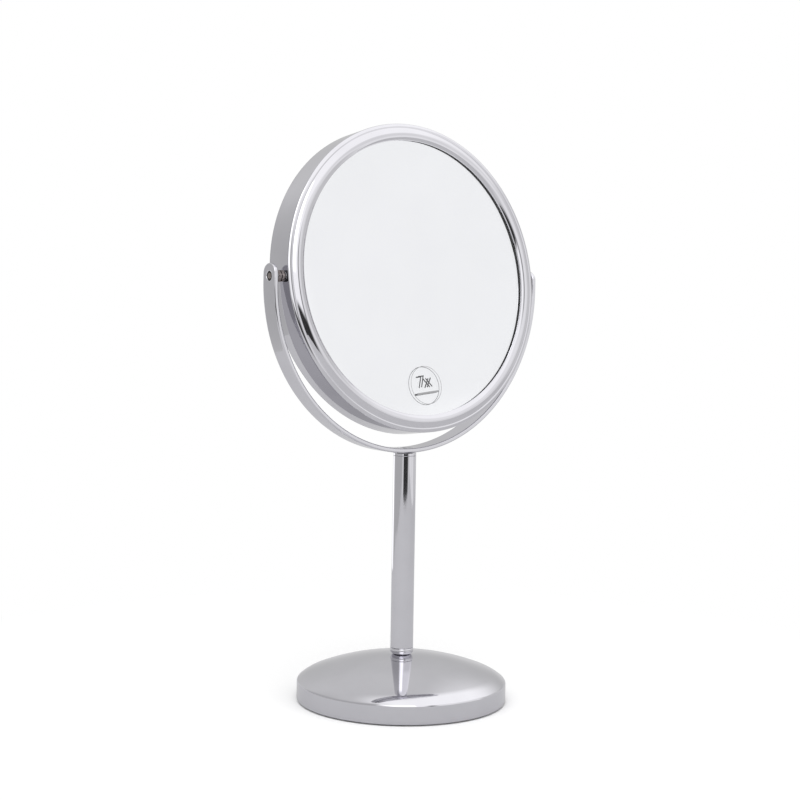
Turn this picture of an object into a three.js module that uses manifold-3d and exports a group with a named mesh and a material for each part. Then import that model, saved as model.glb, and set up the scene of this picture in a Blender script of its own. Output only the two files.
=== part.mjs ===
// Free-standing two-sided shaving mirror. A weighted domed base carries a plain
// stem and a U-shaped strip yoke, and a round head turns over between the
// yoke's arms on two side pivots. The head is a thin drum with a formed bezel on
// each side: a concave magnifying glass in front and a flat glass behind.
// Millimetres, +Z up, front towards -Y, origin at the middle of the underside.

import * as THREE from 'three';
import { mergeVertices } from 'three/addons/utils/BufferGeometryUtils.js';
import Module from 'manifold-3d';

const wasm = await Module();
wasm.setup();

// ---- driving dimensions ----------------------------------------------------

// clearances
const seatGap = 0.3; // between faces that rest on each other
const boreGap = 0.2; // round a stud, a bush or a screw in its hole

// stance
const pivotHeight = 276; // of the head's turning axis above the table
const headTilt = 7.4; // degrees that the front glass looks up at rest

// head drum and its two bezels; widths run inwards from the drum, and offsets
// run out from the head's middle plane
const headRadius = 100;
const drumWall = 1;
const rimOffset = 9.8; // where a bezel's rim sits on the drum's edge
const skirtEnd = 5; // a bezel's skirt reaches this close to the middle plane
const skirtWall = 1;
const bezelWall = 0.55;
const rimWidth = 2.7;
const rimRound = 1.6;
const rimTop = 10.9;
const grooveOffset = 10.4;
const flankWidth = 3.7; // from the groove up to the bead's crest
const beadCrest = 12.85;
const riseWidth = 2.6; // from the crest down to the crease
const creaseOffset = 12.25;
const slopeWidth = 2.05; // from the crease to the glass that shows
const lipTop = 11;

// glasses and what holds them apart
const glassLap = 2.4; // of a glass under its bezel
const glassThickness = 2.2;
const glassEdge = 10.35; // a glass's outer face at its edge, from the middle plane
const curveRadius = 620; // of the magnifying glass
const coreLedge = 6; // of the core ring under the glasses
const coreTop = 9.4; // the core ring's outer wall reaches this far each way
const cushionWidth = 5;
const cushionThickness = 1;

// round mark on the magnifying glass
const markRadius = 12.5;
const markThickness = 0.15;
const markMargin = 6.65; // between the mark and the bezel, low on the glass
const markShift = 3.6; // to the right of the head's centre line

// pivots
const studRadius = 2;
const studRecess = 0.4; // the stud's end lies this far inside the arm's face
const studTail = 0.8; // past the inner nut
const nutAcross = 7;
const nutThickness = 2.2;
const washerRadius = 3.7;
const washerThickness = 0.4;
const bushWall = 0.4;
const flangeRadius = 3.9;
const flangeThickness = 0.7;

// yoke
const stripWidth = 13;
const stripThickness = 3;
const yokeDrop = 5; // the half ring's centre lies this far below the pivots
const armRise = 1.4; // an arm's rounded end has its centre this far above the pivots

// stem
const stemRadius = 7.5;
const stemWall = 1;
const spigotLength = 14;
const topFlange = 1.5;
const collarRadius = 7.9;
const collarHeight = 4.3;

// base
const baseRadius = 68.8;
const baseHeight = 30.5; // of the dome's crown
const domeRise = 15.6; // from the wall's height to the crown
const shoulderRadius = 5;
const shellWall = 1;
const lipWidth = 3; // turned in under the base plate
const lipRound = 0.6;
const padProud = 0.8; // the pad stands this far below the shell
const plateThickness = 1.5;
const plateHole = 9;
const ballastInset = 1.5; // between the ballast's edge and the shell's wall
const ballastHeight = 8.5;
const ballastChamfer = 2;
const bossRadius = 14;

// stem bolt with its washers, and the yoke's screw
const boltRadius = 3;
const boltAcross = 10;
const boltHead = 4;
const boltGrip = 12; // of thread in the stem's foot
const boltWasherRadius = 6;
const boltWasherThickness = 1.6;
const springWasherRadius = 5;
const springWasherSplit = 1.2;
const counterboreRadius = 7.5;
const screwRadius = 2.5;
const screwHeadRadius = 4.4;
const screwHeadDepth = 2;
const screwSink = 0.3; // below the strip's face
const screwGrip = 12;
const screwSocket = 1.5;
const screwSocketDepth = 1.6;

// fineness of the round faces, in steps to a turn
const headSteps = 48;
const baseSteps = 48;
const stemSteps = 24;
const smallSteps = 16;
const yokeSteps = 20; // to a quarter turn

// ---- materials -------------------------------------------------------------

const finishes = {
  chrome: { color: 0xd9dadc, roughness: 0.06, metalness: 1 },
  mirror: { color: 0xf0f1f2, roughness: 0.01, metalness: 1 },
  zincSteel: { color: 0xa9abac, roughness: 0.35, metalness: 1 },
  castIron: { color: 0x3b3a39, roughness: 0.8, metalness: 0.6 },
  nylon: { color: 0x33302e, roughness: 0.5, metalness: 0 },
  blackPlastic: { color: 0x1d1d1e, roughness: 0.6, metalness: 0 },
  foam: { color: 0x2a2a2b, roughness: 0.9, metalness: 0 },
  ink: { color: 0x3a3a3c, roughness: 0.6, metalness: 0 },
};

function finish(name) {
  return new THREE.MeshStandardMaterial(finishes[name]);
}

// ---- solids ----------------------------------------------------------------

// Same geometry with shared vertices merged and flat-out triangles dropped.
function welded(geometry) {
  geometry.deleteAttribute('normal');
  geometry.deleteAttribute('uv');
  const merged = mergeVertices(geometry, 1e-4);
  const corners = merged.index.array;
  const kept = [];
  for (let i = 0; i < corners.length; i += 3) {
    const [a, b, c] = corners.slice(i, i + 3);
    if (a !== b && b !== c && c !== a) kept.push(a, b, c);
  }
  merged.setIndex(kept);
  return merged;
}

// Solid of revolution about Y from [radius, height] points. A profile that
// doesn't start and end on the axis is closed on itself.
function turned(profile, steps) {
  const points = profile.map(([radius, height]) => new THREE.Vector2(radius, height));
  if (THREE.ShapeUtils.area(points) < 0) points.reverse();
  if (points[0].x > 0 || points.at(-1).x > 0) points.push(points[0].clone());
  return welded(new THREE.LatheGeometry(points, steps));
}

function turnedZ(profile, steps) {
  return turned(profile, steps).rotateX(Math.PI / 2);
}

function turnedX(profile, steps) {
  return turned(profile, steps).rotateZ(-Math.PI / 2);
}

// Profile of a plain ring or, with no bore, of a disc.
function ringProfile(bore, radius, low, high) {
  return [[bore, low], [radius, low], [radius, high], [bore, high]];
}

// Hexagonal prism along Z with its flats the given distance apart.
function hexPrism(across, low, high, bore = 0) {
  const outline = new THREE.Shape();
  for (let i = 0; i < 6; i += 1) {
    const angle = (i * Math.PI) / 3;
    const reach = across / Math.sqrt(3);
    const x = reach * Math.cos(angle);
    const y = reach * Math.sin(angle);
    if (i === 0) outline.moveTo(x, y);
    else outline.lineTo(x, y);
  }
  if (bore > 0) outline.holes.push(new THREE.Path().absarc(0, 0, bore, 0, 2 * Math.PI, true));
  const options = { depth: high - low, bevelEnabled: false, curveSegments: smallSteps / 2 };
  return welded(new THREE.ExtrudeGeometry(outline, options).translate(0, 0, low));
}

function toSolid(geometry) {
  const { position } = geometry.attributes;
  const triVerts = new Uint32Array(geometry.index.array);
  return new wasm.Manifold(new wasm.Mesh({ numProp: 3, vertProperties: position.array, triVerts }));
}

function fromSolid(solid) {
  const { vertProperties, triVerts } = solid.getMesh();
  const geometry = new THREE.BufferGeometry();
  geometry.setAttribute('position', new THREE.BufferAttribute(vertProperties, 3));
  geometry.setIndex(new THREE.BufferAttribute(triVerts, 1));
  return geometry;
}

function cut(body, ...tools) {
  return fromSolid(tools.reduce((rest, tool) => rest.subtract(toSolid(tool)), toSolid(body)));
}

function join(body, other) {
  return fromSolid(toSolid(body).add(toSolid(other)));
}

function piece(name, geometry, finishName) {
  const mesh = new THREE.Mesh(geometry, finish(finishName));
  mesh.name = name;
  return mesh;
}

// Points on an ellipse's arc, in degrees, as [x, y] pairs.
function arcPoints(centreX, centreY, halfX, halfY, from, to, count) {
  return Array.from({ length: count + 1 }, (_, i) => {
    const angle = THREE.MathUtils.degToRad(from + ((to - from) * i) / count);
    return [centreX + halfX * Math.cos(angle), centreY + halfY * Math.sin(angle)];
  });
}

// ---- base ------------------------------------------------------------------

const domeHeight = baseHeight - domeRise;
const domeSphere = (baseRadius ** 2 + domeRise ** 2) / (2 * domeRise);
const domeCentre = baseHeight - domeSphere;
const shoulderCentre = baseRadius - shoulderRadius;
const shoulderHeight = domeCentre + Math.sqrt((domeSphere - shoulderRadius) ** 2 - shoulderCentre ** 2);
const shoulderTurn = Math.atan2(shoulderHeight - domeCentre, shoulderCentre);
const plateBottom = padProud + shellWall + seatGap;
const ballastBottom = plateBottom + plateThickness + seatGap;
const ballastTop = ballastBottom + ballastHeight;
const boltBore = boltRadius + boreGap;

// Height of the shell at a radius on the dome, or of a face inset below it.
function domeAt(radius, inset) {
  return domeCentre + Math.sqrt((domeSphere - inset) ** 2 - radius ** 2);
}

// The shell's section from its wall over the shoulder to the crown's hole.
function shellLine(inset, domeSteps) {
  const sphere = domeSphere - inset;
  const crownTurn = Math.acos(boltBore / sphere);
  const round = shoulderRadius - inset;
  const turn = THREE.MathUtils.radToDeg(shoulderTurn);
  const crown = THREE.MathUtils.radToDeg(crownTurn);
  const shoulder = arcPoints(shoulderCentre, shoulderHeight, round, round, 0, turn, 3);
  const dome = arcPoints(0, domeCentre, sphere, sphere, turn, crown, domeSteps);
  return [...shoulder, ...dome.slice(1)];
}

// Pressed shell: wall, rounded shoulder and dome, with its foot turned inwards.
function baseShell() {
  const lipInner = baseRadius - lipWidth;
  const foot = [
    [lipInner, padProud + shellWall],
    [lipInner, padProud],
    [baseRadius - lipRound, padProud],
    [baseRadius, padProud + lipRound],
  ];
  const inside = [[baseRadius - shellWall, padProud + shellWall]];
  const outer = shellLine(0, 6);
  const inner = shellLine(shellWall, 5).reverse();
  return turnedZ([...foot, ...outer, ...inner, ...inside], baseSteps);
}

function basePad() {
  const radius = baseRadius - lipWidth - seatGap;
  return turnedZ(ringProfile(0, radius, 0, plateBottom - seatGap), baseSteps);
}

function basePlate() {
  const radius = baseRadius - shellWall - seatGap;
  return turnedZ(ringProfile(plateHole, radius, plateBottom, plateBottom + plateThickness), baseSteps);
}

// Counterbore's roof, worked down from the head of the bolt and its washers.
const boltHeadTop = ballastBottom + boltHead;
const springWasherBottom = boltHeadTop + seatGap;
const boltWasherBottom = springWasherBottom + boltWasherThickness + seatGap;
const counterboreTop = boltWasherBottom + boltWasherThickness + seatGap;

// Cast disc with a boss that carries the shell's crown and guides the bolt.
function baseBallast() {
  const radius = baseRadius - shellWall - ballastInset;
  const bossTop = domeAt(bossRadius, shellWall) - seatGap;
  return turnedZ(
    [
      [counterboreRadius, ballastBottom],
      [radius, ballastBottom],
      [radius, ballastTop - ballastChamfer],
      [radius - ballastChamfer, ballastTop],
      [bossRadius, ballastTop],
      [bossRadius, bossTop],
      [boltBore, bossTop],
      [boltBore, counterboreTop],
      [counterboreRadius, counterboreTop],
    ],
    baseSteps,
  );
}

const collarBottom = baseHeight + seatGap;
const collarTop = collarBottom + collarHeight;

function stemBolt() {
  const shank = turnedZ(ringProfile(0, boltRadius, boltHeadTop - 1, collarBottom + boltGrip), smallSteps);
  return join(hexPrism(boltAcross, ballastBottom, boltHeadTop), shank);
}

function boltWasher() {
  const top = boltWasherBottom + boltWasherThickness;
  return turnedZ(ringProfile(boltBore, boltWasherRadius, boltWasherBottom, top), smallSteps);
}

// Split ring; the split is cut right through one side.
function springWasher() {
  const top = springWasherBottom + boltWasherThickness;
  const ring = turnedZ(ringProfile(boltBore, springWasherRadius, springWasherBottom, top), smallSteps);
  const split = new THREE.BoxGeometry(springWasherRadius, springWasherSplit, 3 * boltWasherThickness);
  split.translate(springWasherRadius * 0.75, 0, springWasherBottom + boltWasherThickness / 2);
  return cut(ring, welded(split));
}

// ---- stem ------------------------------------------------------------------

const flangeSpan = flangeThickness + washerThickness + nutThickness + 4 * seatGap;
const armInner = headRadius + flangeSpan;
const armOuter = armInner + stripThickness;
const yokeBottom = pivotHeight - yokeDrop - armOuter;
const stemFlangeTop = yokeBottom - seatGap;
const stemTop = stemFlangeTop - topFlange - seatGap;
const stemBottom = collarTop + seatGap;
const spigotRadius = stemRadius - stemWall - seatGap;

// Turned foot: a collar on the dome, a spigot up the tube and a tapped bore.
function stemFoot() {
  const top = collarTop + spigotLength;
  return turnedZ(
    [
      [boltBore, collarBottom],
      [collarRadius, collarBottom],
      [collarRadius, collarTop],
      [spigotRadius, collarTop],
      [spigotRadius, top],
      [boltBore, top],
    ],
    stemSteps,
  );
}

function stemTube() {
  return turnedZ(ringProfile(stemRadius - stemWall, stemRadius, stemBottom, stemTop), stemSteps);
}

// Turned plug: a thin flange under the yoke and a tapped spigot in the tube.
function stemPlug() {
  const bore = screwRadius + boreGap;
  const flangeBottom = stemFlangeTop - topFlange;
  return turnedZ(
    [
      [bore, flangeBottom - spigotLength],
      [spigotRadius, flangeBottom - spigotLength],
      [spigotRadius, flangeBottom],
      [stemRadius, flangeBottom],
      [stemRadius, stemFlangeTop],
      [bore, stemFlangeTop],
    ],
    stemSteps,
  );
}

// ---- yoke ------------------------------------------------------------------

const bushBore = studRadius + boreGap;
const bushRadius = bushBore + bushWall;
const armBore = bushRadius + boreGap;
const screwTop = yokeBottom + stripThickness - screwSink;

// Side-on outline of the bent strip: two short arms on a half ring.
function bentStrip() {
  const armEnd = armRise + stripWidth / 2;
  const outline = new THREE.Shape();
  outline.moveTo(armOuter, armEnd);
  outline.lineTo(armOuter, -yokeDrop);
  outline.absarc(0, -yokeDrop, armOuter, 0, -Math.PI, true);
  outline.lineTo(-armOuter, armEnd);
  outline.lineTo(-armInner, armEnd);
  outline.lineTo(-armInner, -yokeDrop);
  outline.absarc(0, -yokeDrop, armInner, -Math.PI, 0, false);
  outline.lineTo(armInner, armEnd);
  const options = { depth: stripWidth, bevelEnabled: false, curveSegments: yokeSteps };
  const strip = new THREE.ExtrudeGeometry(outline, options);
  return welded(strip.translate(0, 0, -stripWidth / 2).rotateX(Math.PI / 2));
}

// The strip's width seen along X, with the arms' ends rounded just above the pivots.
function stripWidths() {
  const half = stripWidth / 2;
  const reach = 2 * armOuter;
  const outline = new THREE.Shape();
  outline.moveTo(half, -reach);
  outline.lineTo(half, armRise);
  outline.absarc(0, armRise, half, 0, Math.PI, false);
  outline.lineTo(-half, -reach);
  const options = { depth: 3 * armOuter, bevelEnabled: false, curveSegments: smallSteps / 2 };
  const slab = new THREE.ExtrudeGeometry(outline, options).translate(0, 0, -1.5 * armOuter);
  return welded(slab.rotateX(Math.PI / 2).rotateZ(Math.PI / 2));
}

function yoke() {
  const bent = toSolid(bentStrip()).intersect(toSolid(stripWidths()));
  const pivotBore = turnedX(ringProfile(0, armBore, -2 * armOuter, 2 * armOuter), smallSteps);
  const low = -yokeDrop - armOuter;
  const screwHole = turnedZ(
    [
      [0, low - 1],
      [screwRadius + boreGap, low - 1],
      [screwRadius + boreGap, low + stripThickness - screwSink - screwHeadDepth],
      [screwHeadRadius + boreGap, low + stripThickness - screwSink],
      [screwHeadRadius + boreGap, low + stripThickness + 1],
      [0, low + stripThickness + 1],
    ],
    smallSteps,
  );
  return cut(fromSolid(bent), pivotBore, screwHole);
}

// Countersunk screw with a hexagonal socket, from the yoke into the stem plug.
function yokeScrew() {
  const body = turnedZ(
    [
      [0, stemFlangeTop - screwGrip],
      [screwRadius, stemFlangeTop - screwGrip],
      [screwRadius, screwTop - screwHeadDepth],
      [screwHeadRadius, screwTop],
      [0, screwTop],
    ],
    smallSteps,
  );
  return cut(body, hexPrism(2 * screwSocket, screwTop - screwSocketDepth, screwTop + 1));
}

// ---- head ------------------------------------------------------------------

const drumInner = headRadius - drumWall;
const skirtOuter = drumInner - seatGap;
const skirtInner = skirtOuter - skirtWall;
const grooveRadius = headRadius - rimWidth;
const crestRadius = grooveRadius - flankWidth;
const creaseRadius = crestRadius - riseWidth;
const sightRadius = creaseRadius - slopeWidth;
const glassRadius = sightRadius + glassLap;
const coreInner = glassRadius - coreLedge;
const markDrop = sightRadius - markMargin - markRadius;
const lipBottom = glassEdge + seatGap;
const glassSag = curveRadius - Math.sqrt(curveRadius ** 2 - glassRadius ** 2);
const glassCentre = glassEdge - glassSag; // of the magnifying glass's face

// Offset of the magnifying glass's face from the middle plane at a radius.
function curvedFace(radius) {
  return glassCentre + curveRadius - Math.sqrt(curveRadius ** 2 - radius ** 2);
}

const studBore = studRadius + boreGap;
const nutReach = nutAcross / Math.sqrt(3);
const innerNutFace = Math.sqrt(drumInner ** 2 - nutReach ** 2) - seatGap;
const studInner = innerNutFace - nutThickness - studTail;
const studOuter = armOuter - studRecess;

// Rolled band, open at both ends, with a hole for each pivot stud.
function headDrum() {
  const half = rimOffset - seatGap;
  const band = turned(ringProfile(drumInner, headRadius, -half, half), headSteps);
  const hole = turnedX(ringProfile(0, studBore, -2 * headRadius, 2 * headRadius), smallSteps);
  return cut(band, hole);
}

// Points from a low corner up to a crest where the curve levels out.
function risingTo(crest, low, count) {
  return Array.from({ length: count + 1 }, (_, i) => {
    const left = 1 - i / count;
    return [crest[0] + (low[0] - crest[0]) * left, crest[1] + (low[1] - crest[1]) * left ** 2];
  });
}

// Pressed bezel for the +Y side: a lip over the glass, a steep slope out to a
// crease, a hollow bead, a groove, a rounded rim on the drum's edge and a skirt
// inside the drum.
function bezel() {
  const rimCentre = headRadius - rimRound;
  const bead = (drop) => {
    const crest = [crestRadius, beadCrest - drop];
    const inner = risingTo(crest, [creaseRadius + drop, creaseOffset - drop], 3);
    const outer = risingTo(crest, [grooveRadius - drop / 2, grooveOffset - drop], 4);
    return [...inner, ...outer.reverse().slice(1)];
  };
  return turned(
    [
      [sightRadius, lipBottom],
      [sightRadius, lipTop],
      ...bead(0),
      ...arcPoints(rimCentre, rimOffset, rimRound, rimTop - rimOffset, 110, 0, 4),
      [skirtOuter, rimOffset],
      [skirtOuter, skirtEnd],
      [skirtInner, skirtEnd],
      [skirtInner, grooveOffset - bezelWall],
      ...bead(bezelWall).reverse(),
    ],
    headSteps,
  );
}

// Bent glass of even thickness; its hollow face looks towards -Y.
function magnifyingGlass() {
  const steps = 5;
  const radii = Array.from({ length: steps + 1 }, (_, i) => (glassRadius * i) / steps);
  const face = radii.map((radius) => [radius, -curvedFace(radius)]);
  const back = radii.map((radius) => [radius, glassThickness - curvedFace(radius)]);
  return turned([...face, ...back.reverse()], headSteps);
}

function plainGlass() {
  return turned(ringProfile(0, glassRadius, glassEdge - glassThickness, glassEdge), headSteps);
}

// Offsets, along +Y, of the faces that the two cushions lie between.
const frontStop = glassThickness + seatGap - curvedFace(coreInner);
const frontSeat = frontStop + cushionThickness + seatGap;
const rearStop = glassEdge - glassThickness - seatGap;
const rearSeat = rearStop - cushionThickness - seatGap;

// Moulded ring that keeps the glasses apart and centres them, with a pocket for
// the nut and the tail of each stud.
function coreRing() {
  const outer = skirtInner - seatGap;
  const wall = glassRadius + seatGap;
  const ring = turned(
    [
      [coreInner, frontSeat],
      [wall, frontSeat],
      [wall, -coreTop],
      [outer, -coreTop],
      [outer, coreTop],
      [wall, coreTop],
      [wall, rearSeat],
      [coreInner, rearSeat],
    ],
    headSteps,
  );
  const width = 2 * (nutReach + seatGap);
  const depth = headRadius - studInner + seatGap;
  const pockets = [-1, 1].map((side) => {
    const pocket = new THREE.BoxGeometry(depth, width, width);
    return welded(pocket.translate(side * (headRadius - depth / 2), 0, 0));
  });
  return cut(ring, ...pockets);
}

// Foam ring with a sloping face that follows the bent glass's back.
function frontCushion() {
  const rise = curvedFace(coreInner + cushionWidth) - curvedFace(coreInner);
  return turned(
    [
      [coreInner, frontStop],
      [coreInner + cushionWidth, frontStop - rise],
      [coreInner + cushionWidth, frontStop + cushionThickness],
      [coreInner, frontStop + cushionThickness],
    ],
    headSteps,
  );
}

function rearCushion() {
  const radius = coreInner + cushionWidth;
  return turned(ringProfile(coreInner, radius, rearStop - cushionThickness, rearStop), headSteps);
}

// Thin film disc. Its group turns it about the bent glass's centre of curvature.
function glassMark() {
  const low = curveRadius - seatGap - markThickness;
  const mark = piece('glass_mark', turned(ringProfile(0, markRadius, low, low + markThickness), 32), 'ink');
  const swing = new THREE.Group();
  swing.position.set(markShift, -glassCentre - curveRadius, 0);
  swing.rotation.x = -Math.asin(markDrop / curveRadius);
  swing.add(mark);
  return swing;
}

// ---- pivots, built for the right side ---------------------------------------

function pivotStud() {
  return turnedX(ringProfile(0, studRadius, studInner, studOuter), smallSteps);
}

function hexNut(inner) {
  return hexPrism(nutAcross, inner, inner + nutThickness, studBore).rotateY(Math.PI / 2);
}

const outerNutFace = headRadius + seatGap;
const washerFace = outerNutFace + nutThickness + seatGap;
const bushFace = washerFace + washerThickness + seatGap;

function frictionWasher() {
  return turnedX(ringProfile(studBore, washerRadius, washerFace, washerFace + washerThickness), smallSteps);
}

// Flanged bush: its flange lies against the arm, its sleeve lines the arm's bore.
function armBush() {
  const flangeEnd = bushFace + flangeThickness;
  return turnedX(
    [
      [bushBore, bushFace],
      [flangeRadius, bushFace],
      [flangeRadius, flangeEnd],
      [bushRadius, flangeEnd],
      [bushRadius, studOuter],
      [bushBore, studOuter],
    ],
    smallSteps,
  );
}

// ---- assembly --------------------------------------------------------------

const group = new THREE.Group();

group.add(
  piece('base_pad', basePad(), 'foam'),
  piece('base_plate', basePlate(), 'zincSteel'),
  piece('base_ballast', baseBallast(), 'castIron'),
  piece('base_shell', baseShell(), 'chrome'),
  piece('stem_bolt', stemBolt(), 'zincSteel'),
  piece('bolt_washer', boltWasher(), 'zincSteel'),
  piece('bolt_spring_washer', springWasher(), 'zincSteel'),
  piece('stem_foot', stemFoot(), 'chrome'),
  piece('stem_tube', stemTube(), 'chrome'),
  piece('stem_plug', stemPlug(), 'chrome'),
  piece('yoke_screw', yokeScrew(), 'zincSteel'),
);

const pivotLine = new THREE.Group();
pivotLine.position.z = pivotHeight;
pivotLine.add(piece('yoke', yoke(), 'chrome'));
group.add(pivotLine);

const head = new THREE.Group();
head.position.z = pivotHeight;
head.rotation.x = THREE.MathUtils.degToRad(-headTilt);
group.add(head);

const frontBezel = piece('front_bezel', bezel(), 'chrome');
frontBezel.rotation.x = Math.PI;
head.add(
  piece('head_drum', headDrum(), 'chrome'),
  frontBezel,
  piece('rear_bezel', bezel(), 'chrome'),
  piece('magnifying_glass', magnifyingGlass(), 'mirror'),
  piece('plain_glass', plainGlass(), 'mirror'),
  piece('core_ring', coreRing(), 'blackPlastic'),
  piece('front_cushion', frontCushion(), 'foam'),
  piece('rear_cushion', rearCushion(), 'foam'),
  glassMark(),
);

for (const [side, turn] of [['right', 0], ['left', Math.PI]]) {
  const onYoke = new THREE.Group();
  onYoke.rotation.z = turn;
  onYoke.add(
    piece(`arm_bush_${side}`, armBush(), 'nylon'),
    piece(`friction_washer_${side}`, frictionWasher(), 'zincSteel'),
  );
  pivotLine.add(onYoke);

  const onHead = new THREE.Group();
  onHead.rotation.z = turn;
  onHead.add(
    piece(`pivot_stud_${side}`, pivotStud(), 'zincSteel'),
    piece(`inner_nut_${side}`, hexNut(innerNutFace - nutThickness), 'zincSteel'),
    piece(`outer_nut_${side}`, hexNut(outerNutFace), 'chrome'),
  );
  head.add(onHead);
}

export default group;
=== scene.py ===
# Free-standing two-sided shaving mirror: a weighted domed base, a plain stem, a
# U-shaped strip yoke, and a round head that turns over between the yoke's arms.
# The frame is in metres, +Z up, front towards -Y. Each piece's mesh is drawn in
# millimetres, and brought to metres when the piece is finished.

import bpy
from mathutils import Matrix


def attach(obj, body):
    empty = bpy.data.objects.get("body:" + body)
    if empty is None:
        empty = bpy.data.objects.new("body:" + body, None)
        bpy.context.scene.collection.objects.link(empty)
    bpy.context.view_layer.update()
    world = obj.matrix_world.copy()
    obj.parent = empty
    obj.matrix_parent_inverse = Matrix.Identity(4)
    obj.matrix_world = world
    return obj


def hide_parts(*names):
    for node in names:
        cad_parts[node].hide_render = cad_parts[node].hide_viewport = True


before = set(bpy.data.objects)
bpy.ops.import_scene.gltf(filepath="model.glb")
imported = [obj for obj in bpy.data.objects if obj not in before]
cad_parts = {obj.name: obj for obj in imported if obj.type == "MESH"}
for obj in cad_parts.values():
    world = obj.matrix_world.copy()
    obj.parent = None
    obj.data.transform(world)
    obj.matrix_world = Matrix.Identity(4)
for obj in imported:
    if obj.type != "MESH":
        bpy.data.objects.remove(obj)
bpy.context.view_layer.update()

import math

import bmesh
import bpy
from mathutils import Matrix, Quaternion, Vector

# ---- camera ----------------------------------------------------------------
# A short telephoto lens a metre from the mirror, in front of it and to its left,
# a little lower than the pivots. It aims near the middle of the mirror's height.

lens_length = 69.93
camera_place = Vector((-0.6270, -0.7955, 0.2599))
camera_aim = Vector((-0.0047, 0, 0.1978))
camera_roll = Quaternion((0, 0, 1), math.radians(0.92))


def aimed(place, aim):
    """The turn that points a camera or a lamp from its place to its aim."""
    return (aim - place).to_track_quat("-Z", "Y")


camera = bpy.data.objects.new("camera", bpy.data.cameras.new("camera"))
camera.data.lens = lens_length
camera.location = camera_place
camera.rotation_mode = "QUATERNION"
camera.rotation_quaternion = aimed(camera_place, camera_aim) @ camera_roll
bpy.context.collection.objects.link(camera)
bpy.context.scene.camera = camera

# ---- base pad --------------------------------------------------------------
# A die-cut disc of black closed-cell foam, glued under the base plate so that
# the mirror doesn't slide or scratch.

mm_per_metre = 1000


class Finish:
    """A material with one Principled shader, and the few nodes that give it its detail."""

    def __init__(self, name, colour, roughness, metallic=0.0):
        self.material = bpy.data.materials.new(name)
        self.material.use_nodes = True
        self.nodes = self.material.node_tree.nodes
        self.links = self.material.node_tree.links
        self.sockets = self.nodes["Principled BSDF"].inputs
        self.sockets["Base Color"].default_value = (*colour, 1)
        self.sockets["Roughness"].default_value = roughness
        self.sockets["Metallic"].default_value = metallic

    def place(self):
        """The piece's Object coordinates, in metres."""
        return self.nodes.new("ShaderNodeTexCoord").outputs["Object"]

    def noise(self, size, detail):
        """Soft spots about `size` millimetres apart, with `detail` finer layers in them."""
        texture = self.nodes.new("ShaderNodeTexNoise")
        texture.inputs["Scale"].default_value = mm_per_metre / size
        texture.inputs["Detail"].default_value = detail
        self.links.new(self.place(), texture.inputs["Vector"])
        return texture.outputs["Fac"]

    def cells(self, size):
        """Round cells about `size` millimetres across, darkest in their middles."""
        texture = self.nodes.new("ShaderNodeTexVoronoi")
        texture.inputs["Scale"].default_value = mm_per_metre / size
        self.links.new(self.place(), texture.inputs["Vector"])
        return texture.outputs["Distance"]

    def spread(self, amount, low, high, start=0.3, end=0.7):
        """An amount from start to end, where noise mostly lies, spread from low to high."""
        spread = self.nodes.new("ShaderNodeMapRange")
        spread.inputs["From Min"].default_value = start
        spread.inputs["From Max"].default_value = end
        spread.inputs["To Min"].default_value = low
        spread.inputs["To Max"].default_value = high
        self.links.new(amount, spread.inputs["Value"])
        return spread.outputs["Result"]

    def colour_between(self, amount, dark, light):
        """Colours the surface from dark, where the amount is low, to light."""
        mix = self.nodes.new("ShaderNodeMix")
        mix.data_type = "RGBA"
        mix.inputs["A"].default_value = (*dark, 1)
        mix.inputs["B"].default_value = (*light, 1)
        self.links.new(self.spread(amount, low=0, high=1), mix.inputs["Factor"])
        self.links.new(mix.outputs["Result"], self.sockets["Base Color"])

    def roughness_between(self, amount, low, high):
        """Polishes the surface unevenly, from low to high roughness."""
        self.links.new(self.spread(amount, low, high), self.sockets["Roughness"])

    def relief(self, amount, height):
        """Raises the surface by up to `height` millimetres; reliefs add up."""
        bump = self.nodes.new("ShaderNodeBump")
        bump.inputs["Strength"].default_value = 1.0
        bump.inputs["Distance"].default_value = height / mm_per_metre
        self.links.new(amount, bump.inputs["Height"])
        normal = self.sockets["Normal"]
        if normal.is_linked:
            self.links.new(normal.links[0].from_socket, bump.inputs["Normal"])
        self.links.new(bump.outputs["Normal"], normal)

    def give_to(self, *nodes):
        """Puts the finish on CAD nodes that stay as they are."""
        for node in nodes:
            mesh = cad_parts[node].data
            mesh.materials.clear()
            mesh.materials.append(self.material)


foam = Finish("closed_cell_foam", (0.022, 0.022, 0.023), roughness=0.92)
# The same cells also darken the colour where the relief sinks: painted shade in the cells'
# hollows.
foam_cells_and_pit_shade = foam.cells(size=0.7)
foam.colour_between(foam_cells_and_pit_shade, (0.014, 0.014, 0.015), (0.034, 0.034, 0.035))
foam.relief(foam_cells_and_pit_shade, height=0.12)
foam.relief(foam.noise(size=6, detail=2), height=0.05)
foam.give_to("base_pad")

# ---- base plate, ballast and stem bolt -------------------------------------
# A zinc-plated steel disc lies on the shell's turned-in foot; a cast-iron disc
# with a boss gives the weight. One bolt pulls stem, shell and ballast together.

zinc = Finish("zinc_plated_steel", (0.50, 0.51, 0.52), roughness=0.35, metallic=1.0)
zinc_spangle = zinc.noise(size=3, detail=4)
zinc.colour_between(zinc_spangle, (0.40, 0.41, 0.43), (0.62, 0.62, 0.61))
zinc.roughness_between(zinc.noise(size=1.2, detail=3), low=0.26, high=0.44)
zinc.relief(zinc.noise(size=0.4, detail=2), height=0.004)
zinc.give_to("base_plate", "stem_bolt", "bolt_washer", "bolt_spring_washer", "yoke_screw")
zinc.give_to("friction_washer_left", "friction_washer_right", "inner_nut_left", "inner_nut_right")

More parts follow.
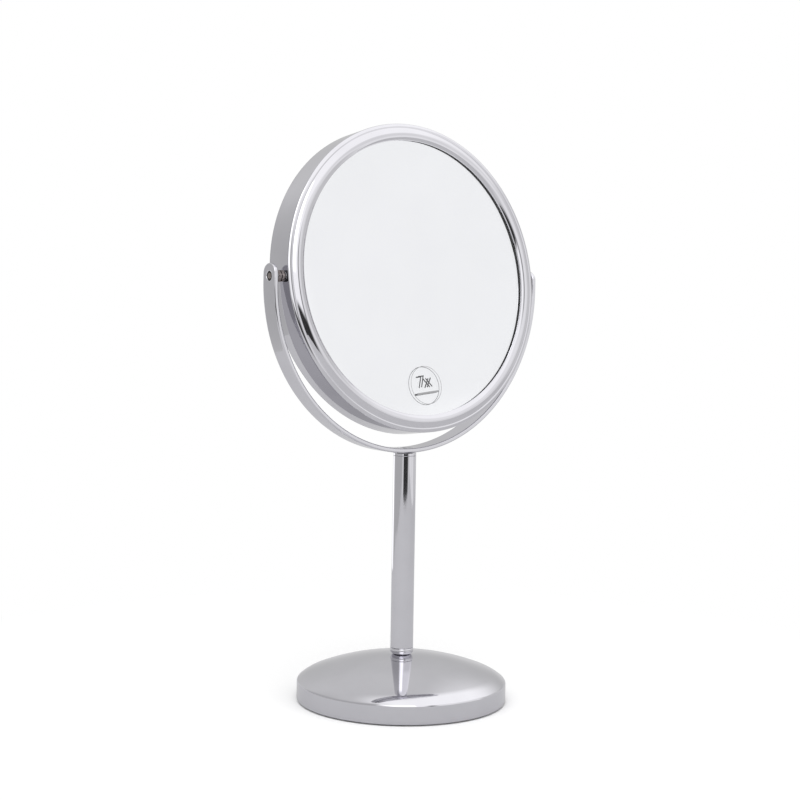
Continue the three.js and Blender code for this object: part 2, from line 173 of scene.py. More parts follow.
iron = Finish("sand_cast_iron", (0.055, 0.052, 0.05), roughness=0.82, metallic=0.6)
# The skin's noise also darkens the colour where the relief sinks: painted shade in its low spots.
iron_skin_and_pit_shade = iron.noise(size=1.6, detail=6)
iron.colour_between(iron_skin_and_pit_shade, (0.035, 0.033, 0.032), (0.085, 0.078, 0.072))
iron.roughness_between(iron.noise(size=5, detail=3), low=0.7, high=0.92)
iron.relief(iron_skin_and_pit_shade, height=0.25)
iron.give_to("base_ballast")

# ---- base shell ------------------------------------------------------------
# Drawn from one steel blank: a shallow dome that bends over into a short upright
# wall, and a foot turned in under the plate; polished, then chromed.

base_radius = 68.8
dome_crown = 29.98
dome_rise = 15.3
crown_hole = 3.2
neck_inner = 5
neck_outer = 11
neck_rise = 0.5
dome_edge = 60
shoulder_slope = math.radians(40)
shoulder_bend = 2.2
shell_wall = 1.0
foot_height = 0.8
foot_inner = 65.8
foot_round = 0.6
dome_sphere = (base_radius**2 + dome_rise**2) / (2 * dome_rise)
dome_centre = dome_crown - dome_sphere
dome_steps = 40
easing_steps = 24
bend_steps = 16
wide_turn_steps = 256
weld_gap = 1e-4
crease_angle = math.radians(32)


def chrome(name, ripple, ripple_size, haze=0.045):
    """Bright chrome; the ripple is what pressing or bending leaves under the plating."""
    plate = Finish(name, (0.661, 0.655, 0.69), roughness=haze, metallic=1.0)
    clouds = plate.noise(size=22, detail=3)
    plate.colour_between(clouds, (0.645, 0.639, 0.674), (0.677, 0.671, 0.706))
    plate.roughness_between(plate.noise(size=7, detail=5), low=0.75 * haze, high=1.35 * haze)
    plate.relief(plate.noise(ripple_size, detail=1), height=ripple)
    return plate


def line_to(bm, start, radius, height):
    """Carries a section's line on from a vertex to the next corner."""
    end = bm.verts.new((radius, 0, height))
    bm.edges.new((start, end))
    return end


def round_off(bm, corner, reach, steps=6):
    """Rounds a corner of a section, starting `reach` before it and ending as far after it."""
    bmesh.ops.bevel(
        bm,
        geom=[corner],
        offset=reach,
        offset_type="OFFSET",
        segments=steps,
        profile=0.5,
        affect="VERTICES",
        material=-1,
    )


def swing(bm, start, centre, turn, steps):
    """Draws an arc from a vertex about a centre in the section's plane; returns its end."""
    arc = bmesh.ops.spin(
        bm,
        geom=[start],
        cent=(centre[0], 0, centre[1]),
        axis=(0, 1, 0),
        angle=turn,
        steps=steps,
        use_merge=False,
    )
    return next(part for part in arc["geom_last"] if isinstance(part, bmesh.types.BMVert))


def turn_section(bm, steps):
    """Turns the drawn section once round Z."""
    bmesh.ops.spin(
        bm,
        geom=bm.verts[:] + bm.edges[:],
        cent=(0, 0, 0),
        axis=(0, 0, 1),
        angle=2 * math.pi,
        steps=steps,
        use_merge=True,
    )
    face_outwards(bm)


def face_outwards(bm, gap=weld_gap):
    """Joins vertices closer than the gap and turns every face outwards."""
    bmesh.ops.remove_doubles(bm, verts=bm.verts, dist=gap)
    bmesh.ops.recalc_face_normals(bm, faces=bm.faces)


def finish_piece(name, bm, finishes, body, nodes):
    """Makes the mesh a piece in metres that rides on a body in place of its CAD nodes."""
    bmesh.ops.scale(bm, vec=[1 / mm_per_metre] * 3, verts=bm.verts)
    mesh = bpy.data.meshes.new(name)
    bm.to_mesh(mesh)
    bm.free()
    mesh.shade_smooth()
    mesh.set_sharp_from_angle(angle=crease_angle)
    for finish in finishes:
        mesh.materials.append(finish.material)
    piece = bpy.data.objects.new(name, mesh)
    bpy.context.collection.objects.link(piece)
    true_faces = piece.modifiers.new("true_faces", "WEIGHTED_NORMAL")
    true_faces.keep_sharp = True
    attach(piece, body)
    if nodes:
        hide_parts(*nodes)


shell = bmesh.new()
hole_slope = math.asin(crown_hole / dome_sphere)
hole_height = dome_centre + math.sqrt(dome_sphere**2 - crown_hole**2)
hole_edge = shell.verts.new((crown_hole, 0, hole_height))
edge_slope = math.asin(dome_edge / dome_sphere)
dome_end = swing(shell, hole_edge, (0, dome_centre), edge_slope - hole_slope, dome_steps)

# A wide easing bend, then a tight one, carry the dome over into the wall.
bend_start = base_radius - shoulder_bend * (1 - math.sin(shoulder_slope))
easing = (bend_start - dome_edge) / (math.sin(shoulder_slope) - math.sin(edge_slope))
easing_centre = (
    dome_edge - easing * math.sin(edge_slope),
    dome_end.co.z - easing * math.cos(edge_slope),
)
bend = swing(shell, dome_end, easing_centre, shoulder_slope - edge_slope, easing_steps)
bend_centre = (
    base_radius - shoulder_bend,
    bend.co.z - shoulder_bend * math.cos(shoulder_slope),
)
shoulder = swing(shell, bend, bend_centre, math.pi / 2 - shoulder_slope, bend_steps)
wall_foot = line_to(shell, shoulder, base_radius, foot_height)
line_to(shell, wall_foot, foot_inner, foot_height)
round_off(shell, wall_foot, foot_round, steps=4)

# Round the bolt's hole the crown is drawn up a little, to meet the collar.
for vertex in shell.verts:
    up_neck = (neck_outer - max(vertex.co.x, neck_inner)) / (neck_outer - neck_inner)
    vertex.co.z += neck_rise * max(0, up_neck) ** 2
turn_section(shell, wide_turn_steps)
bmesh.ops.solidify(shell, geom=shell.faces[:], thickness=shell_wall)
pressed_chrome = chrome("pressed_chrome", ripple=0.006, ripple_size=26)
finish_piece("base_shell_pressed", shell, [pressed_chrome], "stand", ["base_shell"])

# ---- stem ------------------------------------------------------------------
# Steel tube, ground, polished and chromed, between two turned pieces with spigots
# in its bore: a foot whose collar, rounded under, stands on the dome's crown, and
# a plug that takes the yoke's screw.

collar_radius = 7.65
collar_low = 30.3
collar_high = 34.65
collar_under_round = 2.5
collar_top_round = 0.9
spigot_radius = 6.2
spigot_length = 14
stem_radius = 7.5
stem_bore = 6.5
tube_low = 34.7
tube_high = 161.4
plug_low = 161.5
plug_high = 163.2
tube_foot_round = 0.25
edge_round = 0.15
bolt_bore = 3.2
screw_bore = 2.7
stem_turn_steps = 96


def turned(corners, steps, closed=True):
    """A section turned round Z: (radius, height) corners, a third number rounds one off."""
    bm = bmesh.new()
    first = bm.verts.new((corners[0][0], 0, corners[0][1]))
    line = [first]
    for radius, height, *_ in corners[1:]:
        line.append(line_to(bm, line[-1], radius, height))
    if closed:
        bm.edges.new((line[-1], first))
    for vertex, (_, _, *reach) in zip(line, corners):
        if reach:
            round_off(bm, vertex, reach[0])
    turn_section(bm, steps)
    return bm


foot = turned(
    [
        (bolt_bore, collar_low),
        (collar_radius, collar_low, collar_under_round),
        (collar_radius, collar_high, collar_top_round),
        (spigot_radius, collar_high),
        (spigot_radius, collar_high + spigot_length),
        (bolt_bore, collar_high + spigot_length),
    ],
    stem_turn_steps,
)
drawn_chrome = chrome("drawn_chrome", ripple=0.0015, ripple_size=30, haze=0.05)
finish_piece("stem_foot_turned", foot, [drawn_chrome], "stand", ["stem_foot"])

tube = turned(
    [
        (stem_bore, tube_low),
        (stem_radius, tube_low, tube_foot_round),
        (stem_radius, tube_high, edge_round),
        (stem_bore, tube_high),
    ],
    stem_turn_steps,
)
finish_piece("stem_tube_polished", tube, [drawn_chrome], "stand", ["stem_tube"])

plug = turned(
    [
        (screw_bore, plug_low - spigot_length),
        (spigot_radius, plug_low - spigot_length),
        (spigot_radius, plug_low),
        (stem_radius, plug_low, edge_round),
        (stem_radius, plug_high, edge_round),
        (screw_bore, plug_high),
    ],
    stem_turn_steps,
)
finish_piece("stem_plug_turned", plug, [drawn_chrome], "stand", ["stem_plug"])

# ---- yoke ------------------------------------------------------------------
# Flat steel strip with rolled edges, bent to a half ring with two short arms;
# the arms' ends are rounded and bored for the pivots, then all of it is chromed.

pivot_height = 276
strip_half = 6.5
strip_thickness = 3.0
ring_drop = 5
ring_inner = 104.5
arm_bore = 2.8
screw_head_bore = 4.6
strip_round = 1.15
arm_rise = 1.4
ring_centre = pivot_height - ring_drop
bore_sides = 32
strip_steps = 72
seam_gap = 1e-2
# Turns a sheet drawn in the XY plane to face +X, with its +Y end up.
upright = Matrix(((0, 0, 1), (1, 0, 0), (0, 1, 0)))


def grow(bm, edges, factor):
    """Extrudes a loop of edges away from the Z axis or towards it; returns its new vertices."""
    grown = bmesh.ops.extrude_edge_only(bm, edges=edges)
    rim = [part for part in grown["geom"] if isinstance(part, bmesh.types.BMVert)]
    bmesh.ops.scale(bm, vec=(factor, factor, 1), verts=rim)
    return rim


def bored_patch(bore, half, rings, round_end=False):
    """A square sheet in the XY plane with a round hole, or one with its +Y end rounded."""
    bm = bmesh.new()
    bmesh.ops.create_circle(bm, cap_ends=False, segments=bore_sides, radius=bore)
    rim = grow(bm, bm.edges[:], half / bore)
    for vertex in rim:
        if not (round_end and vertex.co.y > weld_gap):
            vertex.co *= half / max(abs(vertex.co.x), abs(vertex.co.y))
    rungs = [edge for edge in bm.edges if sum(v in rim for v in edge.verts) == 1]
    bmesh.ops.subdivide_edges(bm, edges=rungs, cuts=rings, use_grid_fill=True)
    return bm


def stitch(bm, other):
    """Adds another mesh to this one."""
    loose = bpy.data.meshes.new("loose")
    other.to_mesh(loose)
    other.free()
    bm.from_mesh(loose)
    bpy.data.meshes.remove(loose)


def edges_on(bm, test):
    """Edges with both ends where the test holds."""
    return [edge for edge in bm.edges if all(test(vertex.co) for vertex in edge.verts)]


def sweep(bm, edges, centre, axis, turn, steps):
    """Carries a row of edges on, about an axis through the centre."""
    corners = dict.fromkeys(vertex for edge in edges for vertex in edge.verts)
    bmesh.ops.spin(
        bm,
        geom=edges + list(corners),
        cent=centre,
        axis=axis,
        angle=turn,
        steps=steps,
        use_merge=False,
    )


def round_edges(bm, sharper_than, reach, steps):
    """Rounds every edge over which the faces turn by more than an angle."""
    bmesh.ops.bevel(
        bm,
        geom=[edge for edge in bm.edges if edge.calc_face_angle(0) > sharper_than],
        offset=reach,
        offset_type="OFFSET",
        segments=steps,
        profile=0.5,
        affect="EDGES",
        clamp_overlap=True,
        material=-1,
    )


# The right arm's inner face with its bore and rounded end, then the half ring's.
arm = bored_patch(arm_bore, strip_half, rings=2, round_end=True)
bmesh.ops.rotate(arm, matrix=upright, verts=arm.verts)
bmesh.ops.translate(arm, vec=(ring_inner, 0, pivot_height), verts=arm.verts)
for vertex in arm.verts:
    above = vertex.co.z - pivot_height
    if above > weld_gap:
        past_bore = math.hypot(vertex.co.y, above) - arm_bore
        vertex.co.z += arm_rise * past_bore / (strip_half - arm_bore)
    below = max(0, ring_centre - vertex.co.z)
    vertex.co.x = math.sqrt(ring_inner**2 - below**2)
arm_foot = edges_on(arm, lambda co: co.z < pivot_height - strip_half + seam_gap)
from_level = math.asin((strip_half - ring_drop) / ring_inner)
from_bottom = math.asin(strip_half / ring_inner)
quarter = math.pi / 2 - from_level - from_bottom
sweep(arm, arm_foot, (0, 0, ring_centre), (0, 1, 0), quarter, strip_steps)

# The other arm is its mirror image, and a bored patch joins them at the bottom.
bmesh.ops.mirror(
    arm,
    geom=arm.verts[:] + arm.edges[:] + arm.faces[:],
    matrix=Matrix(),
    merge_dist=weld_gap,
    axis="X",
)
seat = bored_patch(screw_head_bore, strip_half, rings=1)
for vertex in seat.verts:
    vertex.co.z = ring_centre - math.sqrt(ring_inner**2 - vertex.co.x**2)
stitch(arm, seat)
face_outwards(arm, seam_gap)
bmesh.ops.solidify(arm, geom=arm.faces[:], thickness=-strip_thickness)
bmesh.ops.recalc_face_normals(arm, faces=arm.faces)
round_edges(arm, sharper_than=math.radians(60), reach=strip_round, steps=6)
bent_chrome = chrome("bent_chrome", ripple=0.004, ripple_size=24)
finish_piece("yoke_bent", arm, [bent_chrome], "stand", ["yoke"])

# ---- head drum -------------------------------------------------------------
# A steel band rolled round and butt-welded, with a hole for each pivot stud;
# both bezels sit on its edges.

head_radius = 100
drum_half = 9.65
drum_wall = 1.0
stud_bore = 2.2
head_tilt = math.radians(7.4)
drum_steps = 90


def set_in_head(bm, side=1):
    """Turns a mesh drawn about Z to the head's front (side 1) or back (-1), at its tilt."""
    turn = side * math.pi / 2 - head_tilt
    bmesh.ops.rotate(bm, matrix=Matrix.Rotation(turn, 3, "X"), verts=bm.verts)
    bmesh.ops.translate(bm, vec=(0, 0, pivot_height), verts=bm.verts)


# Half of the band, from the right stud's hole over the top, then the whole.
drum = bored_patch(stud_bore, drum_half, rings=4)
bmesh.ops.rotate(drum, matrix=upright, verts=drum.verts)
for vertex in drum.verts:
    vertex.co.x = math.sqrt(head_radius**2 - vertex.co.y**2)
patch_edge = edges_on(drum, lambda co: co.y > drum_half - seam_gap)
patch_turn = math.asin(drum_half / head_radius)
sweep(drum, patch_edge, (0, 0, 0), (0, 0, 1), math.pi - 2 * patch_turn, drum_steps)
other_half = drum.copy()
bmesh.ops.rotate(other_half, matrix=Matrix.Rotation(math.pi, 3, "Z"), verts=other_half.verts)
stitch(drum, other_half)
face_outwards(drum, seam_gap)
bmesh.ops.solidify(drum, geom=drum.faces[:], thickness=drum_wall)
set_in_head(drum)
rolled_chrome = chrome("rolled_chrome", ripple=0.003, ripple_size=30)
finish_piece("head_drum_rolled", drum, [rolled_chrome], "head", ["head_drum"])

# ---- bezels ----------------------------------------------------------------
# Pressed rings, front and back: a lip round the glass, a slope, a rounded bead,
# a narrow groove, and a rounded rim that sits on the drum's edge.

bezel_section = [
    (88.95, 10.8),
    (88.95, 11.28, 0.04),
    (89.4, 11.45, 0.2),
    (90.3, 12.0, 0.5),
    (91.2, 12.42, 0.48),
    (92.1, 12.71, 0.46),
    (93.05, 12.94, 0.48),
    (94.05, 12.71, 0.51),
    (95.05, 12.29, 0.53),
    (96.05, 11.76, 0.55),
    (97.15, 11.0, 0.16),
    (97.85, 11.26, 0.2),
    (98.8, 10.96, 0.42),
    (99.6, 10.56, 0.36),
    (100, 10.05, 0.25),
    (100, 9.7),
    (98.7, 9.7),
    (98.7, 5),
    (97.7, 5),
    (97.7, 9.85),
    (97.0, 9.85),
    (94.1, 12.0),
    (91.0, 11.45),
    (89.9, 10.8),
]
bezel_chrome = chrome("bezel_chrome", ripple=0.003, ripple_size=20)
for side, name in ((1, "front_bezel"), (-1, "rear_bezel")):
    bezel = turned(bezel_section, wide_turn_steps)
    set_in_head(bezel, side)
    finish_piece(f"{name}_pressed", bezel, [bezel_chrome], "head", [name])

# ---- glasses ---------------------------------------------------------------
# Float glass silvered on its back: bent to a hollow, magnifying face in front,
# and left flat behind. The print and the lip show twice, on glass and silver.

glass_radius = 91.3
glass_thickness = 2.2
glass_edge = 11.04
hollow_radius = 620
hollow_centre = glass_edge + math.sqrt(hollow_radius**2 - glass_radius**2)
hollow_turn = math.asin(glass_radius / hollow_radius)
hollow_steps = 20

clear = Finish("float_glass", (0.985, 0.99, 0.985), roughness=0.0)
clear.sockets["Transmission Weight"].default_value = 1.0
clear.sockets["IOR"].default_value = 1.52
clear.relief(clear.noise(size=45, detail=1), height=0.0002)
silver = Finish("silvering", (0.9, 0.9, 0.925), roughness=0.0, metallic=1.0)
silver_clouds = silver.noise(size=40, detail=2)
silver.colour_between(silver_clouds, (0.885, 0.888, 0.915), (0.9, 0.903, 0.93))
glass_finishes = [clear, silver]
facing_back = -0.5


def silver_back(bm):
    """Gives the silver to the back of a glass drawn about Z."""
    for face in bm.faces:
        if face.normal.z < facing_back:
            face.material_index = glass_finishes.index(silver)


bent = bmesh.new()
front_middle = bent.verts.new((0, 0, hollow_centre - hollow_radius))
front_edge = swing(bent, front_middle, (0, hollow_centre), -hollow_turn, hollow_steps)
back_edge = line_to(bent, front_edge, glass_radius, glass_edge - glass_thickness)
swing(bent, back_edge, (0, hollow_centre - glass_thickness), hollow_turn, hollow_steps)
turn_section(bent, wide_turn_steps)
silver_back(bent)
set_in_head(bent)
finish_piece(
    "magnifying_glass_bent", bent, glass_finishes, "head", ["magnifying_glass"]
)

flat = turned(
    [
        (0, glass_edge - glass_thickness),
        (glass_radius, glass_edge - glass_thickness),
        (glass_radius, glass_edge),
        (0, glass_edge),
    ],
    wide_turn_steps,
    closed=False,
)
silver_back(flat)
set_in_head(flat, -1)
finish_piece("plain_glass_flat", flat, glass_finishes, "head", ["plain_glass"])

# ---- core ring and cushions ------------------------------------------------
# A moulded black ring keeps the two glasses apart; a ring of foam lies between
# it and each glass.

moulding = Finish("moulded_black_plastic", (0.02, 0.02, 0.021), roughness=0.5)
moulding_flow = moulding.noise(size=9, detail=3)
moulding.colour_between(moulding_flow, (0.017, 0.017, 0.018), (0.026, 0.026, 0.027))
moulding.roughness_between(moulding.noise(size=2.5, detail=4), low=0.42, high=0.6)
moulding.relief(moulding.noise(size=0.5, detail=2), height=0.01)
moulding.give_to("core_ring")
foam.give_to("front_cushion", "rear_cushion")

# ---- glass mark ------------------------------------------------------------
# Grey print on the front glass: a thin ring round a plain number and the cross
# for times, with a plain bar under them.

mark_radius = 12.5
mark_x = 3.2
mark_drop = 69.4
mark_line = 0.34
mark_turn = math.radians(5.5)
mark_sides = 96
ink_lift = 0.03
bar_size = (18, 1.25)
bar_place = (0.2, -5.0)
digit_size = 11.5
digit_thinning = 0.14
digit_place = (-2.9, -1.2)
cross_size = (0.85, 7.2)
cross_place = (2.6, 1.5)
cross_lean = math.radians(36)
ring_ink = Finish("grey_print", (0.34, 0.34, 0.35), roughness=0.6)
ring_grain = ring_ink.noise(size=0.5, detail=3)
ring_ink.colour_between(ring_grain, (0.30, 0.30, 0.31), (0.38, 0.38, 0.39))
text_ink = Finish("dark_print", (0.06, 0.06, 0.065), roughness=0.6)
text_grain = text_ink.noise(size=0.5, detail=3)
text_ink.colour_between(text_grain, (0.045, 0.045, 0.05), (0.09, 0.09, 0.095))


def print_bar(bm, size, place, cells, lean=0.0):
    """Adds a flat bar, cut into cells so that it can follow the hollow glass."""
    bar = bmesh.new()
    bmesh.ops.create_grid(bar, x_segments=cells[0], y_segments=cells[1], size=0.5)
    bmesh.ops.scale(bar, vec=(*size, 1), verts=bar.verts)
    bmesh.ops.rotate(bar, matrix=Matrix.Rotation(lean, 3, "Z"), verts=bar.verts)
    bmesh.ops.translate(bar, vec=(*place, 0), verts=bar.verts)
    stitch(bm, bar)


def on_glass(bm):
    """Turns a flat mesh drawn about the mark's middle, and lays it on the front glass."""
    bmesh.ops.rotate(bm, matrix=Matrix.Rotation(mark_turn, 3, "Z"), verts=bm.verts)
    bmesh.ops.translate(bm, vec=(mark_x, -mark_drop, ink_lift), verts=bm.verts)
    for vertex in bm.verts:
        reach = math.hypot(vertex.co.x, vertex.co.y)
        vertex.co.z += hollow_centre - math.sqrt(hollow_radius**2 - reach**2)
    set_in_head(bm)


ring = bmesh.new()
bmesh.ops.create_circle(ring, cap_ends=False, segments=mark_sides, radius=mark_radius)
grow(ring, ring.edges[:], (mark_radius - mark_line) / mark_radius)
bmesh.ops.recalc_face_normals(ring, faces=ring.faces)
print_bar(ring, bar_size, bar_place, cells=(12, 1))
on_glass(ring)
finish_piece("glass_mark_ring", ring, [ring_ink], "head", ["glass_mark"])

number_text = bpy.data.curves.new("magnifying_number", "FONT")
number_text.body = "7"
number_text.size = digit_size
number_text.offset = -digit_thinning
number_text.align_x = "CENTER"
number_object = bpy.data.objects.new("magnifying_number", number_text)
number = bmesh.new()
number.from_mesh(number_object.to_mesh())
number_object.to_mesh_clear()
bpy.data.objects.remove(number_object)
bmesh.ops.triangulate(number, faces=number.faces[:])
bmesh.ops.translate(number, vec=(*digit_place, 0), verts=number.verts)
for lean in (-cross_lean, cross_lean):
    print_bar(number, cross_size, cross_place, cells=(1, 4), lean=lean)
on_glass(number)
finish_piece("glass_mark_number", number, [text_ink], "head", [])

# ---- pivots ----------------------------------------------------------------
# Each stud goes through the drum between two nuts, then through a friction
# washer and a flanged nylon bush into the arm's bore.

# The studs' and nuts' dark, warm brown colour is painted shade from between the drum and the
# arms, with a painted warm reflection in it; the mottle varies that painted shade at random.
steel = Finish("steel_in_painted_shade", (0.30, 0.265, 0.25), roughness=0.16, metallic=1.0)
steel_shade_mottle = steel.noise(size=1.5, detail=3)
steel.colour_between(steel_shade_mottle, (0.20, 0.172, 0.16), (0.40, 0.36, 0.345))
steel.roughness_between(steel.noise(size=0.8, detail=3), low=0.1, high=0.24)
steel.relief(steel.noise(size=0.9, detail=1), height=0.02)
nylon = Finish("black_nylon", (0.03, 0.028, 0.027), roughness=0.45)
nylon_flow = nylon.noise(size=2, detail=3)
nylon.colour_between(nylon_flow, (0.022, 0.02, 0.019), (0.042, 0.038, 0.036))
nylon.roughness_between(nylon.noise(size=1, detail=3), low=0.36, high=0.52)

stud_radius = 2.0
stud_inner = 92.2
stud_outer = 107.1
stud_inner_round = 0.3
stud_end_round = 0.5
nut_inner = 100.15
nut_outer = 102.5
nut_across = 7.0
nut_corner = nut_across / math.sqrt(3)
nut_round = 0.25
bush_inner = 103.5
bush_flange = 104.2
bush_outer = 107.1
bush_bore = 2.2
bush_radius = 2.6
bush_round = 0.1
flange_radius = 3.9
flange_round = 0.2
pivot_turn_steps = 48


def set_on_pivot(bm, side, tilt=0.0):
    """Lays a mesh drawn about Z along the pivots' line, on the right (side 1) or left (-1)."""
    bmesh.ops.rotate(bm, matrix=Matrix.Rotation(side * math.pi / 2, 3, "Y"), verts=bm.verts)
    bmesh.ops.rotate(bm, matrix=Matrix.Rotation(-tilt, 3, "X"), verts=bm.verts)
    bmesh.ops.translate(bm, vec=(0, 0, pivot_height), verts=bm.verts)


for side, name in ((1, "right"), (-1, "left")):
    stud = turned(
        [
            (0, stud_inner),
            (stud_radius, stud_inner, stud_inner_round),
            (stud_radius, stud_outer, stud_end_round),
            (0, stud_outer),
        ],
        pivot_turn_steps,
        closed=False,
    )
    set_on_pivot(stud, side)
    finish_piece(
        f"pivot_stud_{name}_turned", stud, [steel], "head", [f"pivot_stud_{name}"]
    )

    nut = bmesh.new()
    bmesh.ops.create_cone(
        nut,
        cap_ends=False,
        segments=6,
        radius1=nut_corner,
        radius2=nut_corner,
        depth=nut_outer - nut_inner,
    )
    bmesh.ops.translate(nut, vec=(0, 0, (nut_inner + nut_outer) / 2), verts=nut.verts)
    for height in (nut_inner, nut_outer):
        rim = edges_on(nut, lambda co, level=height: abs(co.z - level) < seam_gap)
        grow(nut, rim, stud_bore / nut_corner)
    bores = edges_on(nut, lambda co: math.hypot(co.x, co.y) < (stud_bore + nut_corner) / 2)
    bmesh.ops.bridge_loops(nut, edges=bores)
    face_outwards(nut)
    round_edges(nut, sharper_than=math.radians(40), reach=nut_round, steps=3)
    set_on_pivot(nut, side, head_tilt)
    finish_piece(
        f"outer_nut_{name}_chamfered", nut, [steel], "head", [f"outer_nut_{name}"]
    )

    bush = turned(
        [
            (bush_bore, bush_inner),
            (flange_radius, bush_inner, flange_round),
            (flange_radius, bush_flange, flange_round),
            (bush_radius, bush_flange),
            (bush_radius, bush_outer, bush_round),
            (bush_bore, bush_outer, bush_round),
        ],
        pivot_turn_steps,
    )
    set_on_pivot(bush, side)
    finish_piece(
        f"arm_bush_{name}_moulded", bush, [nylon], "stand", [f"arm_bush_{name}"]
    )

# ---- studio ----------------------------------------------------------------
# A white paper table under a wide overhead light, laid out in metres. Metal and
# glass show the studio's grey walls, its light boxes and the dark room behind the
# camera.

table_corners = [(-1.158, -0.541), (0.372, -1.39), (1.546, 0.725), (-0.624, 0.42)]
paper_in_metal = (0.65, 0.65, 0.6565)
shadow_reach = 0.12
white_from = 0.4
lamp_place = Vector((-0.5, -0.4, 1.8))
lamp_aim = Vector((0, 0, 0.1))
lamp_size = 1.6
lamp_power = 12

table_mesh = bmesh.new()
table_mesh.faces.new([table_mesh.verts.new((x, y, 0)) for x, y in table_corners])
table_data = bpy.data.meshes.new("table")
table_mesh.to_mesh(table_data)
table_mesh.free()
table = bpy.data.objects.new("table", table_data)
bpy.context.collection.objects.link(table)

# The paper looks greyer in the metal. Past the mirror's shadow it goes over to the
# white of the background.
table_top = Finish("table_paper", (1, 1, 1), roughness=0.9)
table_top.sockets["Specular IOR Level"].default_value = 0.0
table_nodes = table_top.nodes
table_links = table_top.links
table_path = table_nodes.new("ShaderNodeLightPath")
paper = table_nodes.new("ShaderNodeMix")
paper.data_type = "RGBA"
paper.inputs["A"].default_value = (1, 1, 1, 1)
paper.inputs["B"].default_value = (*paper_in_metal, 1)
table_links.new(table_path.outputs["Is Glossy Ray"], paper.inputs["Factor"])
table_links.new(paper.outputs["Result"], table_top.sockets["Base Color"])
far_off = table_nodes.new("ShaderNodeVectorMath")
far_off.operation = "LENGTH"
table_links.new(table_top.place(), far_off.inputs[0])
no_shadow = table_top.spread(far_off.outputs["Value"], 0, 1, start=shadow_reach, end=white_from)
past_shadow = table_nodes.new("ShaderNodeMath")
past_shadow.operation = "MULTIPLY"
table_links.new(no_shadow, past_shadow.inputs[0])
table_links.new(table_path.outputs["Is Camera Ray"], past_shadow.inputs[1])
white_paper = table_nodes.new("ShaderNodeEmission")
paper_or_white = table_nodes.new("ShaderNodeMixShader")
table_links.new(past_shadow.outputs["Value"], paper_or_white.inputs["Fac"])
table_links.new(table_nodes["Principled BSDF"].outputs["BSDF"], paper_or_white.inputs[1])
table_links.new(white_paper.outputs["Emission"], paper_or_white.inputs[2])
table_surface = table_nodes["Material Output"].inputs["Surface"]
table_links.new(paper_or_white.outputs["Shader"], table_surface)
table_data.materials.append(table_top.material)

lamp_data = bpy.data.lights.new("overhead_box", "AREA")
lamp_data.shape = "RECTANGLE"
lamp_data.size = lamp_size
lamp_data.size_y = lamp_size
lamp_data.energy = lamp_power
lamp = bpy.data.objects.new("overhead_box", lamp_data)
lamp.location = lamp_place
lamp.rotation_mode = "QUATERNION"
lamp.rotation_quaternion = aimed(lamp_place, lamp_aim)
lamp.visible_glossy = False
lamp.visible_transmission = False
bpy.context.collection.objects.link(lamp)

# What the metal and the glass show, each patch over the ones before it: azimuth
# from +X, half width, elevation, half height and soft edge in degrees, and level.
open_studio = 1.319
studio = {
    "grey_wall_behind": (118.7, 90, 19.2, 54.3, 27.3, 0.727),
    "low_light_behind": (97, 24.4, -6.7, 4.2, 5.9, 1.98),
    "light_box_over_camera": (225.5, 23.1, 35.7, 20.5, 3, 2.34),
    "wall_at_right": (304.8, 40.1, 8.6, 29.2, 6.7, 1.1),
    "grey_opposite_camera": (39.6, 43.3, 2.5, 26.6, 40, 0.597),
    "low_grey_behind_right": (17.9, 39.8, -11.2, 12.4, 27.6, 0.802),
    "grey_wall_at_left": (160.8, 53.6, 6.8, 39, 33.1, 0.553),
    "dark_room_behind_camera": (242, 21, -10, 10.3, 5, 0.045),
    "dark_gap_left_of_camera": (209.2, 11.3, -15.5, 6.1, 3.1, 0.098),
    "panel_at_right": (308, 14.7, 6.1, 14.2, 3.1, 0.975),
    "black_upright_right_of_camera": (265.5, 3.7, 6.2, 19.1, 13.4, 0),
    "low_grey_right_of_camera": (278.8, 3.8, -18.1, 12.2, 26.6, 0.42),
    "grey_wall_far_right": (346, 17, 5, 18, 10, 0.76),
}
soft_level = 0.86
half_turn = 180

world = bpy.data.worlds.new("studio")
bpy.context.scene.world = world
world.use_nodes = True
world_nodes = world.node_tree.nodes
world_links = world.node_tree.links


def feed(socket, value):
    """Sets a socket to a number, or links another node's output to it."""
    if isinstance(value, (int, float)):
        socket.default_value = value
    else:
        world_links.new(value, socket)


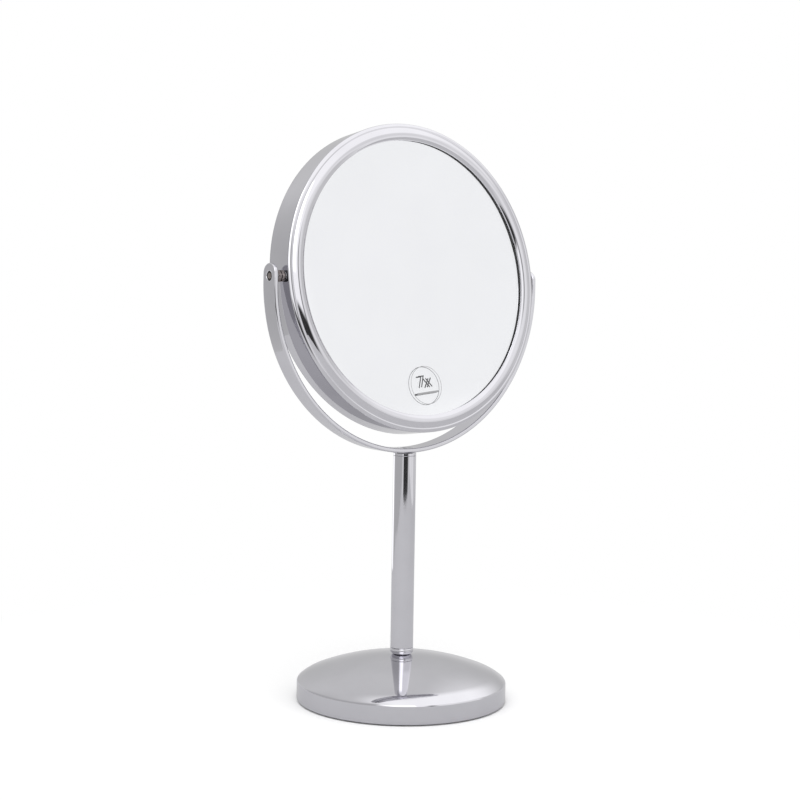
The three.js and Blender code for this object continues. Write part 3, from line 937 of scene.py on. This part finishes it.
def sums(operation, first, second=0.0):
    """A Math node on links or numbers."""
    node = world_nodes.new("ShaderNodeMath")
    node.operation = operation
    feed(node.inputs[0], first)
    feed(node.inputs[1], second)
    return node.outputs["Value"]


def mixed(share, first, second):
    """The first link or number where the share is 0, the second where it is 1."""
    node = world_nodes.new("ShaderNodeMix")
    node.data_type = "FLOAT"
    feed(node.inputs["Factor"], share)
    feed(node.inputs["A"], first)
    feed(node.inputs["B"], second)
    return node.outputs["Result"]


def fade(distance, half, soft):
    """1 within `half` degrees, 0 past it, with an edge `soft` degrees wide."""
    node = world_nodes.new("ShaderNodeMapRange")
    node.interpolation_type = "SMOOTHSTEP"
    node.inputs["From Min"].default_value = half + soft / 2
    node.inputs["From Max"].default_value = half - soft / 2
    feed(node.inputs["Value"], distance)
    return node.outputs["Result"]


axes = world_nodes.new("ShaderNodeSeparateXYZ")
feed(axes.inputs["Vector"], world_nodes.new("ShaderNodeTexCoord").outputs["Generated"])
heading = sums("ARCTAN2", axes.outputs["Y"], axes.outputs["X"])
azimuth = sums("MULTIPLY", heading, half_turn / math.pi)
elevation = sums("MULTIPLY", sums("ARCSINE", axes.outputs["Z"]), half_turn / math.pi)

level = open_studio
for patch_azimuth, half_width, patch_elevation, half_height, soft, patch_level in studio.values():
    across = sums("PINGPONG", sums("SUBTRACT", azimuth, patch_azimuth), half_turn)
    along = sums("ABSOLUTE", sums("SUBTRACT", elevation, patch_elevation))
    mask = sums("MULTIPLY", fade(across, half_width, soft), fade(along, half_height, soft))
    level = mixed(mask, level, patch_level)

# Plain surfaces see one soft level all round, and the camera sees white.
rays = world_nodes.new("ShaderNodeLightPath").outputs
shiny = sums("MAXIMUM", rays["Is Glossy Ray"], rays["Is Transmission Ray"])
seen = mixed(rays["Is Camera Ray"], mixed(shiny, soft_level, level), 1.0)
background = world_nodes["Background"]
background.inputs["Color"].default_value = (1, 1, 1, 1)
feed(background.inputs["Strength"], seen)

bpy.context.scene.view_settings.view_transform = "Standard"
